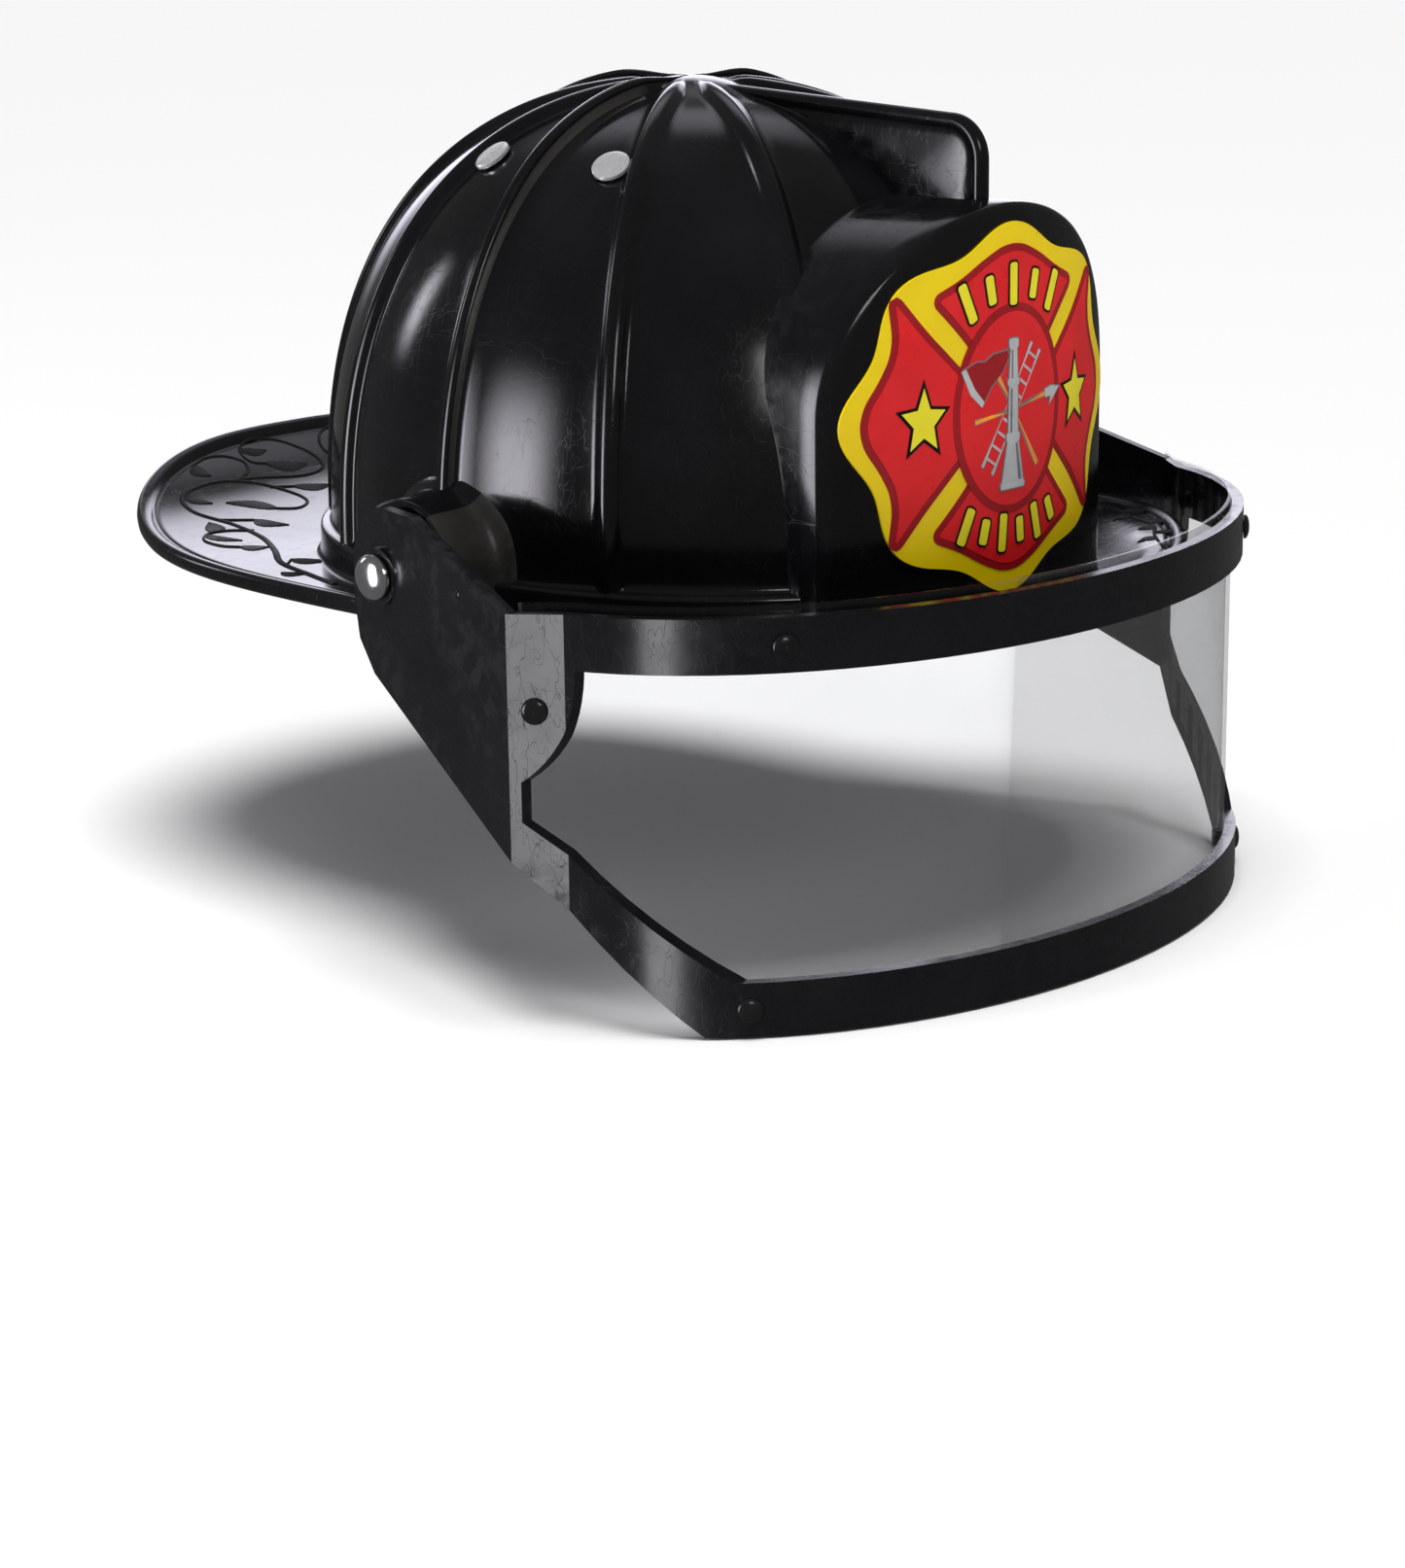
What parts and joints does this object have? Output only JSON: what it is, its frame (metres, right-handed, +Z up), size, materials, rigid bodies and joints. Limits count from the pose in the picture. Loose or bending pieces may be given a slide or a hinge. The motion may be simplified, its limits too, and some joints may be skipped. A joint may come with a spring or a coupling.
{
  "type": "toy firefighter helmet",
  "caption": "Child's costume fire helmet: ribbed black crown with front fin and shield, wide rear brim, clear face visor that pivots up at the temples, inner headband.",
  "frame": {"origin": "centre of the headband at brow level, inside the crown, where the wearer's head is seated", "axes": "+Z up through the crown, front (shield and visor) faces -Y, rear brim +Y, the wearer's right is -X and left is +X"},
  "size_m": [0.236, 0.278, 0.1931],
  "materials": {
    "shell_plastic": "high gloss black injection moulding",
    "badge_vinyl": "printed gloss vinyl sticker, yellow and red",
    "visor_plastic": "high gloss black injection moulding",
    "lens_clear": "clear flexible sheet",
    "rivet_plastic": "gloss black push rivet",
    "chrome": "bright plated metal",
    "washer_plastic": "natural nylon",
    "retainer_steel": "plain spring steel",
    "retainer_plastic": "natural nylon",
    "strap_plastic": "satin black flexible plastic",
    "band_plastic": "satin black flexible plastic",
    "foam": "dark grey closed cell foam"
  },
  "bodies": {
    "helmet": {"helmet_shell": "shell_plastic", "badge_sticker": "badge_vinyl", "hinge_rivet_right": "chrome", "hinge_rivet_left": "chrome", "hinge_washer_right": "washer_plastic", "hinge_washer_left": "washer_plastic", "hinge_retainer_right": "retainer_steel", "hinge_retainer_left": "retainer_steel", "crown_button_front_right": "chrome", "crown_button_front_left": "chrome", "crown_button_rear_right": "chrome", "crown_button_rear_left": "chrome", "button_retainer_front_right": "retainer_plastic", "button_retainer_front_left": "retainer_plastic", "button_retainer_rear_right": "retainer_plastic", "button_retainer_rear_left": "retainer_plastic", "crown_strap_upper": "strap_plastic", "crown_strap_lower": "strap_plastic", "headband": "band_plastic", "nape_strap": "band_plastic", "brow_pad": "foam"},
    "visor": {"visor_frame": "visor_plastic", "visor_lens": "lens_clear", "visor_rivet_top_right": "rivet_plastic", "visor_rivet_top_left": "rivet_plastic", "visor_rivet_corner_right": "rivet_plastic", "visor_rivet_corner_left": "rivet_plastic", "visor_rivet_bottom_right": "rivet_plastic", "visor_rivet_bottom_left": "rivet_plastic"}
  },
  "joints": [
    {"name": "visor_tilt", "type": "hinge", "parent": "helmet", "child": "visor", "pos_m": [0, 0, 0.0083], "axis": [-1, 0, 0], "range_deg": [0, 35]}
  ]
}
